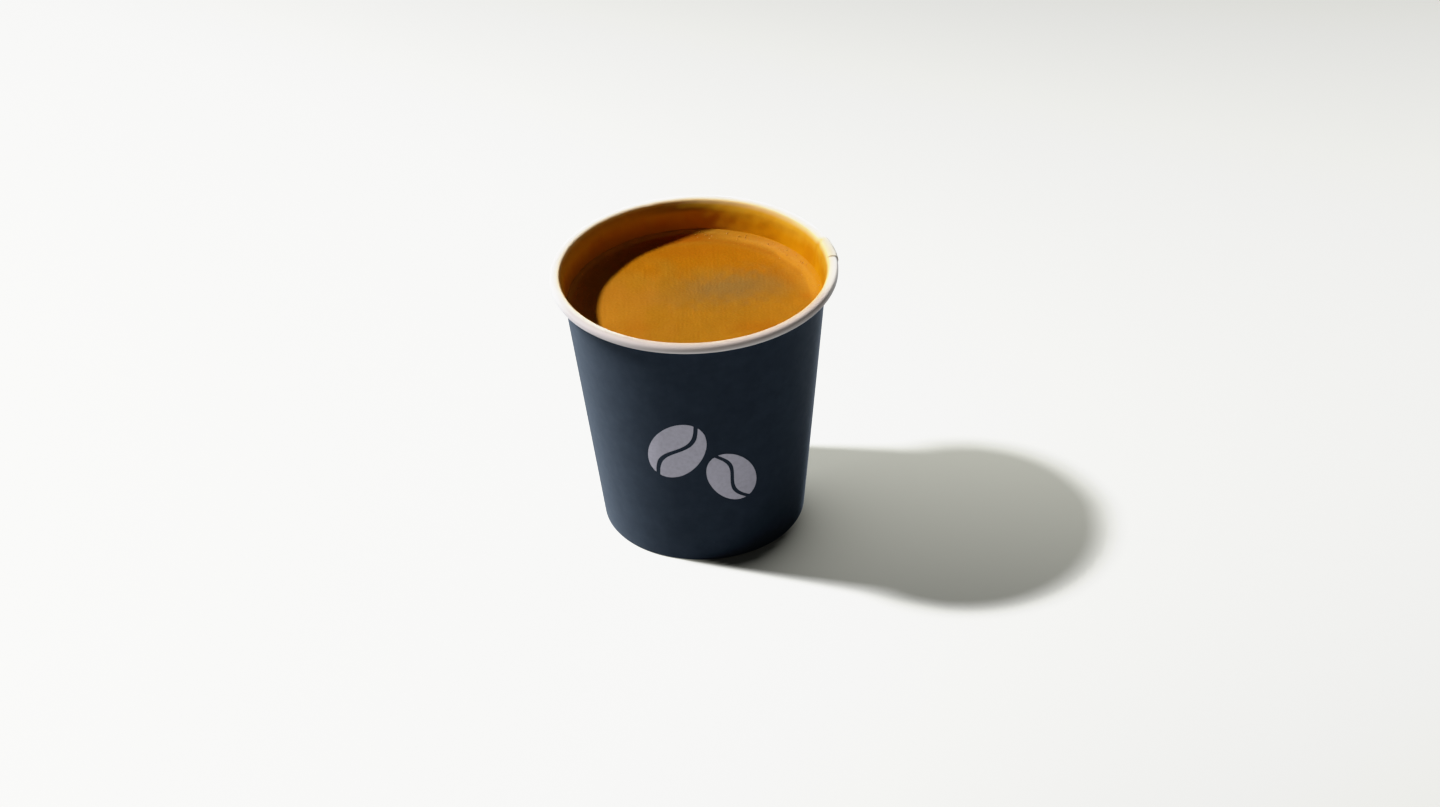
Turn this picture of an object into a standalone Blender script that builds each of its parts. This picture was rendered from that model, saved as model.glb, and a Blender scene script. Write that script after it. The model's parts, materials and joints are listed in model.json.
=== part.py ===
"""Espresso shot in a small single-wall paper cup.

The cup is made of two pieces of board. The wall is a conical sheet that laps over itself at a side seam.
Its top edge is rolled outwards into the rim, and its lower edge is folded in and up around the skirt of
the base. The base is a disc whose edge is turned down into that skirt. The coffee fills the cup, and a
layer of crema floats on it, climbing a little where it touches the wall.
"""

from math import atan2, copysign, cos, degrees, exp, hypot, radians, sin

import bmesh
import bpy
from mathutils import Matrix

MM = 0.001

# Cup, outside sizes
CUP_HEIGHT = 62.0 * MM
RIM_RADIUS = 31.25 * MM
FOOT_RADIUS = 22.45 * MM
WALL_SPREAD = 0.104  # growth of the wall's radius for each unit of height
BOARD = 0.3 * MM
GAP = 0.3 * MM  # clearance between pieces that touch

# Rolled rim
RIM_WIDTH = 2.3 * MM
RIM_TALL = 1.95 * MM
RIM_SQUARENESS = 2.8  # power of the roll's section, which is pressed from an ellipse, 2, towards a box
RIM_FLARE_FROM = 59.4 * MM  # the straight wall ends here and leans out into the roll
ROLL_START = 165.0  # degrees around the roll, 180 being its side towards the cup's axis
ROLL_END = -125.0
ROLL_STEPS = 12

# Foot of the wall
FOLD_HEIGHT = 5.0 * MM
FOLD_CORNER = 0.3 * MM
CORNER_STEPS = 3

# Side seam of the wall
SEAM_AZIMUTH = 4.0  # degrees from +X to the edge of the outer ply
SEAM_LAP = 14.0
SEAM_RAMP = 5.0  # the outer ply climbs over the end of the inner ply along this angle
SEAM_EDGE = 0.3  # angle taken by the cut edge of the outer ply
SEAM_RISE = 0.25 * MM

# Base
BASE_UNDERSIDE = 6.0 * MM
BASE_CORNER = 0.5 * MM

# Drink
CREMA_LEVEL = 53.2 * MM
CREMA_DEPTH = 3.0 * MM
MENISCUS_RISE = 1.75 * MM
MENISCUS_REACH = 1.5 * MM  # distance from the wall over which the rise falls to about a third

COLUMN_ANGLE = 5.0  # degrees between the flat faces round the cup


def wall_outside(height):
    """Radius of the wall's outer face."""
    return FOOT_RADIUS + WALL_SPREAD * height


def wall_inside(height):
    """Radius of the wall's inner face."""
    return wall_outside(height) - BOARD


def wall_middle(height):
    """Radius of the middle of the wall's board."""
    return wall_outside(height) - BOARD / 2


def arc(centre, radii, start, end, steps):
    """Points (radius, height) along part of an ellipse, with the angles in degrees."""
    angles = [radians(start + (end - start) * i / steps) for i in range(steps + 1)]
    return [(centre[0] + radii[0] * cos(a), centre[1] + radii[1] * sin(a)) for a in angles]


def board_section(path, closed_at_axis=False):
    """Outline of a board whose middle follows the path: one side out, the other side back."""
    sides = [], []
    for i, (radius, height) in enumerate(path):
        before = path[max(i - 1, 0)]
        after = path[min(i + 1, len(path) - 1)]
        along = after[0] - before[0], after[1] - before[1]
        length = hypot(*along)
        across = -along[1] / length * BOARD / 2, along[0] / length * BOARD / 2
        sides[0].append((radius + across[0], height + across[1]))
        sides[1].append((radius - across[0], height - across[1]))
    outline = sides[0] + sides[1][::-1]
    return outline if closed_at_axis else outline + outline[:1]


def wall_path():
    """Middle of the wall's board, from the top of the inner fold, round the foot and up into the roll."""
    plies = 2 * (BOARD + GAP)
    low = BOARD / 2 + FOLD_CORNER
    outer, inner = wall_middle(low), wall_middle(low) - plies
    corner = FOLD_CORNER, FOLD_CORNER
    fold = [(wall_middle(FOLD_HEIGHT) - plies, FOLD_HEIGHT)]
    fold += arc((inner + FOLD_CORNER, low), corner, 180, 270, CORNER_STEPS)
    fold += arc((outer - FOLD_CORNER, low), corner, 270, 360, CORNER_STEPS)
    straight = [(wall_middle(RIM_FLARE_FROM), RIM_FLARE_FROM)]
    return fold + straight + roll_path()


def roll_path():
    """Middle of the roll's board: a superellipse, run from the wall over the top and down outside."""
    centre, radii = roll_centre(), roll_radii()
    points = []
    for step in range(ROLL_STEPS + 1):
        angle = radians(ROLL_START + (ROLL_END - ROLL_START) * step / ROLL_STEPS)
        out, up = (copysign(abs(part) ** (2 / RIM_SQUARENESS), part) for part in (cos(angle), sin(angle)))
        points.append((centre[0] + radii[0] * out, centre[1] + radii[1] * up))
    return points


def roll_centre():
    """Middle of the rolled rim's section."""
    return RIM_RADIUS - RIM_WIDTH / 2, CUP_HEIGHT - RIM_TALL / 2


def roll_radii():
    """Half width and half height of the roll, to the middle of its board."""
    return (RIM_WIDTH - BOARD) / 2, (RIM_TALL - BOARD) / 2


def base_path():
    """Middle of the base's board, from the cup's axis to the edge and down the skirt."""
    level = BASE_UNDERSIDE + BOARD / 2
    skirt_low = BOARD + GAP + BOARD / 2
    turn = level - BASE_CORNER
    skirt = wall_middle(turn) - (BOARD + GAP)
    edge = arc((skirt - BASE_CORNER, turn), (BASE_CORNER, BASE_CORNER), 90, 0, CORNER_STEPS)
    return [(0.0, level)] + edge + [(wall_middle(skirt_low) - (BOARD + GAP), skirt_low)]


def coffee_section():
    """Outline of the coffee, from its bottom centre to its top centre."""
    low = BASE_UNDERSIDE + BOARD + GAP
    high = CREMA_LEVEL - CREMA_DEPTH - GAP
    sides = [(wall_inside(height) - GAP, height) for height in (low, high)]
    return [(0.0, low)] + sides + [(0.0, high)]


def crema_section():
    """Outline of the crema, whose top curves up the wall as an exponential of the distance to it."""
    low = CREMA_LEVEL - CREMA_DEPTH
    lip = CREMA_LEVEL + MENISCUS_RISE
    edge = wall_inside(lip) - GAP
    distances = [MENISCUS_REACH * share for share in (0.0, 0.3, 0.7, 1.4, 3.0, 6.0, 12.0)]
    top = [(edge - d, CREMA_LEVEL + MENISCUS_RISE * exp(-d / MENISCUS_REACH)) for d in distances]
    return [(0.0, low), (wall_inside(low) - GAP, low)] + top + [(0.0, CREMA_LEVEL)]


def turned(section, arcs):
    """Mesh turned from an outline of (radius, height), in arcs of (degrees, steps) that make a circle."""
    mesh = bmesh.new()
    corners = [mesh.verts.new((radius, 0.0, height)) for radius, height in section[:-1]]
    if section[-1] == section[0]:
        corners.append(corners[0])
    else:
        corners.append(mesh.verts.new((section[-1][0], 0.0, section[-1][1])))
    edges = [mesh.edges.new(pair) for pair in zip(corners, corners[1:])]
    ends = list(dict.fromkeys(corners)) + edges
    for angle, steps in arcs:
        swept = bmesh.ops.spin(mesh, geom=ends, axis=(0, 0, 1), cent=(0, 0, 0), angle=radians(angle), steps=steps)
        ends = swept["geom_last"]
    bmesh.ops.remove_doubles(mesh, verts=mesh.verts, dist=0.001 * MM)
    bmesh.ops.dissolve_degenerate(mesh, edges=mesh.edges, dist=0.001 * MM)
    bmesh.ops.recalc_face_normals(mesh, faces=mesh.faces)
    return mesh


def plain_round():
    """Arcs of an even circle."""
    return [(360.0, round(360.0 / COLUMN_ANGLE))]


def seamed_round():
    """Arcs of a circle that starts at the seam: the lap, the ramp, the rest, and the ply's cut edge."""
    rest = 360.0 - SEAM_LAP - SEAM_RAMP - SEAM_EDGE
    return [(SEAM_LAP, 4), (SEAM_RAMP, 2), (rest, round(rest / COLUMN_ANGLE)), (SEAM_EDGE, 1)]


def lap_share(azimuth):
    """How far the outer ply has risen at an angle past the seam's edge: 1 on the lap, 0 off it."""
    past_lap = (azimuth - SEAM_LAP) / SEAM_RAMP
    return 1.0 - min(max(past_lap, 0.0), 1.0)


def raise_seam(mesh):
    """Thickens the wall and the roll along the lap, where two plies of board lie on each other."""
    centre, radii = roll_centre(), roll_radii()
    for vert in mesh.verts:
        radius = hypot(vert.co.x, vert.co.y)
        azimuth = degrees(atan2(vert.co.y, vert.co.x))
        rise = SEAM_RISE * lap_share((azimuth + SEAM_EDGE / 2) % 360.0)
        out, up = radius - centre[0], vert.co.z - centre[1]
        if vert.co.z > RIM_FLARE_FROM + BOARD:
            shares = abs(out / radii[0]) ** RIM_SQUARENESS, abs(up / radii[1]) ** RIM_SQUARENESS
            outside = sum(shares) > 1.0 and out > -radii[0] / 2
            direction = out / hypot(out, up), up / hypot(out, up)
        else:
            outside = radius > wall_middle(vert.co.z) and vert.co.z > BOARD
            direction = 1.0, 0.0
        if rise > 0.0 and outside:
            scale = (radius + rise * direction[0]) / radius
            vert.co.x *= scale
            vert.co.y *= scale
            vert.co.z += rise * direction[1]


def finish(name, colour, roughness):
    """Material of one colour."""
    material = bpy.data.materials.new(name)
    material.use_nodes = True
    shader = material.node_tree.nodes["Principled BSDF"]
    shader.inputs["Base Color"].default_value = (*colour, 1.0)
    shader.inputs["Roughness"].default_value = roughness
    shader.inputs["Metallic"].default_value = 0.0
    return material


def place(name, mesh, *materials):
    """Puts a finished mesh into the scene as an object, shaded smooth but for its edges."""
    data = bpy.data.meshes.new(name)
    mesh.to_mesh(data)
    mesh.free()
    data.shade_smooth()
    data.set_sharp_from_angle(angle=radians(35))
    for material in materials:
        data.materials.append(material)
    thing = bpy.data.objects.new(name, data)
    bpy.context.collection.objects.link(thing)
    return thing


def make_cup_wall(print_navy, board_white):
    """The wall: printed outside up to the roll, white on the roll and inside."""
    mesh = turned(board_section(wall_path()), seamed_round())
    raise_seam(mesh)
    to_seam = Matrix.Rotation(radians(SEAM_AZIMUTH), 3, "Z")
    bmesh.ops.rotate(mesh, verts=mesh.verts, cent=(0, 0, 0), matrix=to_seam)
    for face in mesh.faces:
        middle = face.calc_center_median()
        outward = face.normal.x * middle.x + face.normal.y * middle.y > 0.0
        printed = outward and middle.z < RIM_FLARE_FROM + BOARD and middle.xy.length > wall_middle(middle.z)
        face.material_index = 0 if printed else 1
    return place("cup_wall", mesh, print_navy, board_white)


def make_base_disc(board_white):
    """The base, with its skirt between the two plies of the wall's foot."""
    return place("base_disc", turned(board_section(base_path(), closed_at_axis=True), plain_round()), board_white)


def make_coffee(coffee_brown):
    """The coffee under the crema."""
    return place("espresso", turned(coffee_section(), plain_round()), coffee_brown)


def make_crema(crema_gold):
    """The crema on the coffee."""
    return place("crema", turned(crema_section(), plain_round()), crema_gold)


def main():
    """Clears the scene and builds the cup and the drink."""
    for thing in list(bpy.data.objects):
        bpy.data.objects.remove(thing)
    print_navy = finish("navy_print", (0.016, 0.022, 0.034), 0.55)
    board_white = finish("white_board", (0.78, 0.77, 0.75), 0.6)
    make_cup_wall(print_navy, board_white)
    make_base_disc(board_white.copy())
    make_coffee(finish("coffee_brown", (0.022, 0.009, 0.004), 0.2))
    make_crema(finish("crema_gold", (0.42, 0.18, 0.03), 0.45))


main()
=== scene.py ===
"""The looks of an espresso shot in a small paper cup, laid out as an add-on and run as a script.

Every new surface is worked out with numpy. Lengths are metres, angles are degrees unless a name says
otherwise, and an azimuth is the angle round the cup from +X towards +Y.
"""

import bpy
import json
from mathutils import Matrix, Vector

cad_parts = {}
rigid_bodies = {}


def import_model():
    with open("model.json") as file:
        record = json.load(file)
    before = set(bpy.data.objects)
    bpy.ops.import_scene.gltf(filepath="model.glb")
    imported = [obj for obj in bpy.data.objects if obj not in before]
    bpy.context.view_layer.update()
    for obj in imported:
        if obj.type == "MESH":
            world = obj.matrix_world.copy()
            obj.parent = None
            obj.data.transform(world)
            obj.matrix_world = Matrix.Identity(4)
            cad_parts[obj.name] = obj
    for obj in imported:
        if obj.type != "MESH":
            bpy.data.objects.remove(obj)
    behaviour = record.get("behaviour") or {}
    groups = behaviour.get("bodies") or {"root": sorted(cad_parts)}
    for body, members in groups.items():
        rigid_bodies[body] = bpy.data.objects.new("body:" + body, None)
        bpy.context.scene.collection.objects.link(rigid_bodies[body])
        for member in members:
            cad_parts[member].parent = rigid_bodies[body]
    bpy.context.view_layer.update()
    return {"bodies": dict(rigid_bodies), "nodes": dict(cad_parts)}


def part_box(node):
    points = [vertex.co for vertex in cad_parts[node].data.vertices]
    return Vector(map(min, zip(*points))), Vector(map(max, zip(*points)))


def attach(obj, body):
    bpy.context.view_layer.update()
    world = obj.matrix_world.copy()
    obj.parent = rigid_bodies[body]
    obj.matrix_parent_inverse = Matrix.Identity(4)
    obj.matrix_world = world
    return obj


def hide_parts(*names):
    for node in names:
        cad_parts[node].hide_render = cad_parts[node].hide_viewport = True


bl_info = {
    "name": "Espresso Shot in a Paper Cup",
    "version": (1, 0, 0),
    "blender": (4, 5, 0),
    "location": "3D View > Sidebar > Espresso",
    "description": "Dresses the packed cup in printed board, crema, coffee film, bubbles and a front print",
    "category": "Object",
}

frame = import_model()

import json

import bpy
import numpy as np
from bpy.props import FloatProperty, FloatVectorProperty, IntProperty, PointerProperty
from mathutils import Matrix, Vector

_, WALL_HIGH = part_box("cup_wall")
BASE_LOW, BASE_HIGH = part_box("base_disc")
CREMA_LOW, CREMA_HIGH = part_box("crema")

MM = 0.001
BODY = "root"
TURN = 2 * np.pi
CREMA_LEVEL = 53.2 * MM
SMOOTH_BELOW = 38.0  # faces that meet at a smaller angle are shaded as one surface
WALL_STEPS, BASE_STEPS, DRINK_STEPS, FLOOR_STEPS = 480, 256, 600, 360  # azimuths round each surface

# The lap's far side sinks back over some degrees, and so does the dent past the inner ply's end
LAP_FADE, GROOVE_FADE, DENT = 4.0, 2.2, 0.14 * MM
HAIR = 0.001  # degrees, so that an azimuth on an edge counts as past it

# Small irregular forms of the rolled rim, of the panel under it and of the inner fold's crimped top
ROLL_WANDER, TOP_WANDER, PANEL_WANDER = 0.025 * MM, 0.02 * MM, 0.05 * MM
BELOW_RIM = 58 * MM
INWARD = 1.4  # keeps the wander inside the cup's box
NICK_AZIMUTH, NICK_WIDTH, NICK_DEPTH = 109.0, 1.6, 0.10 * MM
FOLD_ROWS, CRIMPS, CRIMP_DEPTH = 5, 72, 0.05 * MM  # rows of points on the fold come first

# Azimuth at the middle of the shaded left and back, where the film's painted shade is strongest, and where
# its edge stands back or reaches on: azimuth, width, length
SHADE_AZIMUTH = 150
FILM_REACHES = ((148, 9.0, -0.10 * MM), (17.5, 1.2, 0.40 * MM))

# How deep the crema's edge and the film's back lie in the board, and the film's least thickness
INTO_BOARD, FILM_DEEP, THINNEST_FILM = 0.10 * MM, 0.08 * MM, 0.004 * MM

# Height of the crema's fine foam, and how far from the wall it and the waves settle
FOAM_RELIEF, SETTLE_REACH = 0.012 * MM, 2 * MM

# Patches on the crema: share, centre and radii in millimetres
PALE_PATCHES = ((0.3, (-18, -5), (6, 6)),)
THIN_PATCHES = ((0.3, (6.5, 5.6), (5.0, 2.2)),)
# The first deep patch, at the back, paints the redder tone along the edge of the rim's shadow on the crema
DEEP_PATCHES = ((0.5, (-1, 21), (8, 2.6)), (0.6, (24.4, 0.4), (1.6, 1.4)), (0.45, (13, -11), (6, 2.6)),
                (0.4, (-13.5, -9), (4, 3)))

# Beans of the motif: centre along the wall and up, lean in degrees, length and width
BEANS = (
    ((-5.6 * MM, 31.5 * MM), -32, 16.5 * MM, 11.5 * MM),
    ((6.2 * MM, 23.5 * MM), 28, 14.5 * MM, 10 * MM),
)
INK_PROUD, INK_DEEP = 0.02 * MM, 0.06 * MM

# Small colours, linear
BLACK, PINHOLE, FOAM_PIT = (0.0, 0.0, 0.0), (0.12, 0.13, 0.15), (0.10, 0.03, 0.002)
TABLE, TABLE_GLOW, SOFT_TINT = (0.61, 0.61, 0.61), (1.0, 1.0, 0.88), (0.95, 1.0, 0.95)

# The soft light's brightest direction, the power with which it falls off, and the brightness of the backdrop
SOFT_FROM, SOFT_FALL, BACKDROP = (0.64, 0.76, 0.10), 5.0, 0.85

# The camera's response to light, and the width of its sensor in millimetres
GAIN, TOE, SHOULDER, ROOM, WHITEST = 1.07, 0.01, 0.72, 0.27, 2.0
SENSOR = 36.0


def size(name, description, default):
    """A setting that is a length."""
    return FloatProperty(name=name, description=description, default=default, unit="LENGTH")


def number(name, description, default):
    """A setting that is a plain number, or an angle in degrees."""
    return FloatProperty(name=name, description=description, default=default)


def colour(name, description, *default):
    """A setting that is a linear colour."""
    return FloatVectorProperty(name=name, description=description, default=default, subtype="COLOR")


class CupSizes(bpy.types.PropertyGroup):
    """Sizes of the paper cup."""

    rim_radius: size("Rim radius", "Outside of the rolled rim", WALL_HIGH.y)
    height: size("Height", "From the table to the top of the rim", 62.0 * MM)
    foot_radius: size("Foot radius", "Outside of the wall at the table", 22.43 * MM)
    spread: number("Spread", "Growth of the wall's radius for each unit of height", 0.104)
    board: size("Board", "Thickness of the board", 0.3 * MM)
    gap: size("Gap", "Room between plies in the folded foot", 0.3 * MM)
    roll_width: size("Roll width", "Width of the rolled rim", 2.3 * MM)
    roll_tall: size("Roll height", "Height of the rolled rim", 1.95 * MM)
    roll_squareness: number("Roll squareness", "Power of the roll's section: 2 is an ellipse", 2.8)
    flare_from: size("Flare", "Height where the wall starts to lean into the roll", 59.4 * MM)
    fold_height: size("Fold", "Height of the wall's inner fold at the foot", 5.0 * MM)
    base_radius: size("Base radius", "Outside of the base's skirt at its lower edge", 21.86 * MM)
    seam_azimuth: number("Seam", "Azimuth of the outer ply's edge, in degrees", 4.0)
    seam_lap: number("Lap", "Angle over which the plies lap, in degrees", 14.0)
    seam_rise: size("Seam rise", "How much the lap thickens the wall", 0.24 * MM)


class DrinkSizes(bpy.types.PropertyGroup):
    """Sizes of the crema and of the film on the wall."""

    level: size("Level", "Height of the crema's surface", CREMA_LEVEL)
    climb: size("Climb", "How far the crema climbs the wall", CREMA_HIGH.z - CREMA_LEVEL)
    climb_reach: size("Climb reach", "Distance from the wall over which the climb falls to a third", 1.5 * MM)
    relief: size("Relief", "Height of the crema's low waves", 0.05 * MM)
    film: size("Film", "Thickness of the film on the wall", 0.06 * MM)
    film_top: size("Film top", "Mean length of board from the film's edge to the rim's top", 0.7 * MM)
    bubbles: IntProperty(name="Bubbles", description="Number of fine bubbles along the wall", default=220)


class Colours(bpy.types.PropertyGroup):
    """Colours of the cup and the drink, linear."""

    navy: colour("Print", "Dark print on the wall", 0.0235, 0.0325, 0.0475)
    board: colour("Board", "Coated white board", 0.78, 0.78, 0.79)
    raw_board: colour("Cut edge", "Cut edge of the board", 0.55, 0.47, 0.36)
    ink: colour("Motif", "Pale motif on the front", 0.50, 0.49, 0.58)
    crema: colour("Crema", "Most of the crema", 0.375, 0.158, 0.0115)
    crema_pale: colour("Pale crema", "Foam ring along the wall", 0.50, 0.215, 0.018)
    crema_thin: colour("Thin crema", "Where the coffee shows through", 0.275, 0.142, 0.032)
    crema_golden: colour("Golden crema", "Towards the back", 0.40, 0.138, 0.004)
    crema_rosy: colour("Rosy crema", "Towards the left", 0.43, 0.165, 0.015)
    # Also painted shade: the shadow near the wall at the back and the redder edge of the rim's shadow
    crema_deep: colour("Deep crema", "Redder streaks", 0.37, 0.110, 0.005)
    film: colour("Film", "Film on the wall", 0.62, 0.270, 0.006)
    film_thin: colour("Thin film", "Film near its edge", 0.64, 0.34, 0.030)
    # Painted shade: the darker, redder tone that the film takes on its shaded left and back
    film_in_shade: colour("Rich film", "Thicker film on the left", 0.43, 0.208, 0.028)
    # Painted shade: the greyer tone of the rim at the front, which turns away from the key light
    painted_rim_shade: colour("Blush", "Board tinged by the drink at the front", 0.54, 0.505, 0.515)
    stain: colour("Stain", "Board that has soaked up coffee", 0.82, 0.60, 0.30)
    coffee: colour("Coffee", "Coffee under the crema", 0.020, 0.008, 0.003)


# Surfaces


def wander(azimuth, waves, seed):
    """Smooth wander round the cup, mostly within 1: sine waves of azimuth, each lower than the one before.

    Their sum is divided by half the sum of their heights, which fall as one over the root of their number."""
    draw = np.random.default_rng(seed)
    numbers = np.arange(1, waves + 1)
    heights = 1.0 / np.sqrt(numbers)
    phases = draw.uniform(0, TURN, waves)
    angles = np.multiply.outer(azimuth, numbers) + phases
    return (heights * np.sin(angles)).sum(axis=-1) / heights.sum() * 2.0


def ripples(x, y, length, waves, seed):
    """Smooth noise over a plane: cosine waves with random headings and lengths near the given one.

    Their sum is divided by the root of half their number."""
    draw = np.random.default_rng(seed)
    headings = draw.uniform(0, TURN, waves)
    rates = TURN / (length * draw.uniform(0.7, 1.6, waves))
    phases = draw.uniform(0, TURN, waves)
    total = np.zeros_like(x)
    for heading, rate, phase in zip(headings, rates, phases):
        total += np.cos(rate * (x * np.cos(heading) + y * np.sin(heading)) + phase)
    return total / np.sqrt(waves / 2)


def smooth_step(value):
    """0 below 0, 1 above 1, and the cubic 3t^2 - 2t^3 between."""
    t = np.clip(value, 0.0, 1.0)
    return t * t * (3 - 2 * t)


def ease(value, start, end):
    """Smooth step from 0 at start to 1 at end, which may be the smaller of the two."""
    return smooth_step((value - start) / (end - start))


def bell(value, centre, width):
    """exp(-t^2), with t the distance from the centre over the width."""
    return np.exp(-((value - centre) / width) ** 2)


def band(value, start, full, fades, end):
    """Smooth band: it rises from 0 at start to 1 at full, and falls from 1 at fades to 0 at end."""
    return ease(value, start, full) * ease(value, end, fades)


def turns(count):
    """Azimuths evenly spaced round the cup, in radians."""
    return np.arange(count) * TURN / count


def signed_degrees(azimuth):
    """An azimuth in degrees, from -180 to 180."""
    return (np.degrees(azimuth) + 180) % 360 - 180


def left_share(azimuth):
    """1 on the left and at the back, and 0 on the right and at the front."""
    return ease(np.cos(azimuth - np.radians(SHADE_AZIMUTH)), -0.1, 0.7)


def ellipse_arc(centre, radii, start, end, count):
    """Points on part of an ellipse: the centre plus the radii times the cosine and sine of each angle."""
    angles = np.radians(np.linspace(start, end, count))
    return np.stack([centre[0] + radii[0] * np.cos(angles), centre[1] + radii[1] * np.sin(angles)], axis=1)


def revolve(radius, height, azimuth):
    """Points of a turned surface: radius times the azimuth's cosine and sine, and the height."""
    radius, height, azimuth = np.broadcast_arrays(radius, height, azimuth)
    return np.stack([radius * np.cos(azimuth), radius * np.sin(azimuth), height], axis=-1)


def there_and_back(out, back):
    """Rows of a closed outline: out along one side and back along the other."""
    return np.concatenate([out, back[:, ::-1]], axis=1)


def grid_quads(rows, columns, rows_meet, columns_meet, first=0):
    """Corner numbers of the quads of a grid, whose last row or column may join on to its first."""
    i = np.arange(rows if rows_meet else rows - 1)[:, None]
    j = np.arange(columns if columns_meet else columns - 1)[None, :]
    after_i, after_j = (i + 1) % rows, (j + 1) % columns
    corners = [i * columns + j, after_i * columns + j, after_i * columns + after_j, i * columns + after_j]
    return first + np.stack(np.broadcast_arrays(*corners), axis=-1).reshape(-1, 4)


def closed_volume(points, quads):
    """Signed volume inside a closed mesh: a sixth of the sum of its triangles' corner products."""
    corner = [points[quads[:, k]] for k in range(4)]
    first = np.einsum("ij,ij->i", corner[0], np.cross(corner[1], corner[2]))
    second = np.einsum("ij,ij->i", corner[0], np.cross(corner[2], corner[3]))
    return (first + second).sum() / 6


def outward(points, quads):
    """The quads, turned over if they face into the solid. A triangle keeps its repeated corner last."""
    return quads if closed_volume(points, quads) > 0 else np.roll(quads[:, ::-1], 2, axis=1)


def new_piece(name, points, quads, marks=None, uses=()):
    """Makes a closed mesh with its faces outwards. A quad whose last two corners agree becomes a triangle."""
    quads = outward(points, quads)
    pointed = quads[:, 2] == quads[:, 3]
    mesh = bpy.data.meshes.new(name)
    mesh.from_pydata(points.tolist(), [], quads[~pointed].tolist() + quads[pointed, :3].tolist())
    for mark, values in (marks or {}).items():
        add_mark(mesh, mark, values)
    mesh.validate()
    mesh.shade_smooth()
    mesh.set_sharp_from_angle(angle=np.radians(SMOOTH_BELOW))
    for material in uses:
        mesh.materials.append(material)
    return add_object(name, mesh)


def add_mark(mesh, name, values):
    """Gives a mesh a number for each of its points."""
    layer = mesh.attributes.new(name, "FLOAT", "POINT")
    layer.data.foreach_set("value", np.ascontiguousarray(values, dtype=np.float32).ravel())


def add_object(name, data):
    """Puts a mesh, light or camera into the scene."""
    thing = bpy.data.objects.new(name, data)
    bpy.context.scene.collection.objects.link(thing)
    return thing


def round_solid(rings):
    """Points and quads of a solid made of rings (count, azimuths, 3) between two poles on the axis.

    The poles take the mean height of the first and the last ring."""
    count, around, _ = rings.shape
    poles = [(0.0, 0.0, rings[0, :, 2].mean()), (0.0, 0.0, rings[-1, :, 2].mean())]
    points = np.concatenate([rings.reshape(-1, 3), poles])
    quads = grid_quads(count, around, False, True)
    j = np.arange(around)
    after = (j + 1) % around
    last = (count - 1) * around
    top, bottom = np.full(around, count * around), np.full(around, count * around + 1)
    start_fan = np.stack([j, after, top, top], axis=1)
    end_fan = np.stack([last + after, last + j, bottom, bottom], axis=1)
    return points, np.concatenate([quads, start_fan, end_fan])


def ring_solid(grid):
    """Points and quads of a solid whose grid closes on itself both ways, such as a turned outline."""
    rows, columns, _ = grid.shape
    return grid.reshape(-1, 3), grid_quads(rows, columns, True, True)


def slab_solid(front, back):
    """Points and quads of a thin solid between two grids of the same shape, closed along their edges."""
    rows, columns, _ = front.shape
    count = rows * columns
    front_quads = grid_quads(rows, columns, False, False)
    numbers = np.arange(count).reshape(rows, columns)
    edge = np.concatenate([numbers[0, :], numbers[1:, -1], numbers[-1, -2::-1], numbers[-2:0:-1, 0]])
    after = np.roll(edge, -1)
    rim = np.stack([after, edge, edge + count, after + count], axis=1)
    points = np.concatenate([front.reshape(-1, 3), back.reshape(-1, 3)])
    return points, np.concatenate([front_quads[:, ::-1], front_quads + count, rim])


def joined(solids):
    """Points and quads of several solids as one mesh."""
    points, quads, first = [], [], 0
    for some_points, some_quads in solids:
        points.append(some_points)
        quads.append(some_quads + first)
        first += len(some_points)
    return np.concatenate(points), np.concatenate(quads)


# Shape of the cup


def roll_centre(cup):
    """Middle of the rolled rim's section, as (radius, height)."""
    return cup.rim_radius - cup.roll_width / 2, cup.height - cup.roll_tall / 2


def wall_middle(cup, height):
    """Radius of the middle of the wall's board: it grows evenly with height."""
    return cup.foot_radius + cup.spread * height - cup.board / 2


def panel(azimuth, height):
    """How far the wall stands out of its cone: low waves round the cup that die away at rim and foot."""
    share = np.clip(height / BELOW_RIM, 0.0, 1.0)
    return PANEL_WANDER * wander(azimuth, 5, 11) * np.sin(np.pi * share)


def lap(cup, azimuth):
    """Share of the outer ply's rise: 1 on the lap, with a sharp edge at the seam and a smooth one behind."""
    past = (np.degrees(azimuth) - cup.seam_azimuth + HAIR) % 360.0
    return ease(past, cup.seam_lap + LAP_FADE, cup.seam_lap)


def groove(cup, azimuth):
    """Share of the dent inside the wall past the inner ply's end: 1 at the end, then falling to 0."""
    past = (np.degrees(azimuth) - cup.seam_azimuth - cup.seam_lap + HAIR) % 360.0
    return ease(past, GROOVE_FADE, 0)


def seam_azimuths(cup, count):
    """Azimuths round the cup in radians, evenly spaced, with close ones at both edges of the lap."""
    even = np.arange(count) * 360.0 / count
    edges = np.array([-0.25, -0.12, 0.0, 0.12, 0.3])  # degrees from an edge of the lap
    extra = np.concatenate([cup.seam_azimuth + edges, cup.seam_azimuth + cup.seam_lap + edges])
    far = np.abs((even[:, None] - extra[None, :] + 180) % 360 - 180).min(axis=1) > 0.2
    return np.radians(np.sort(np.concatenate([even[far], extra])))


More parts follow.
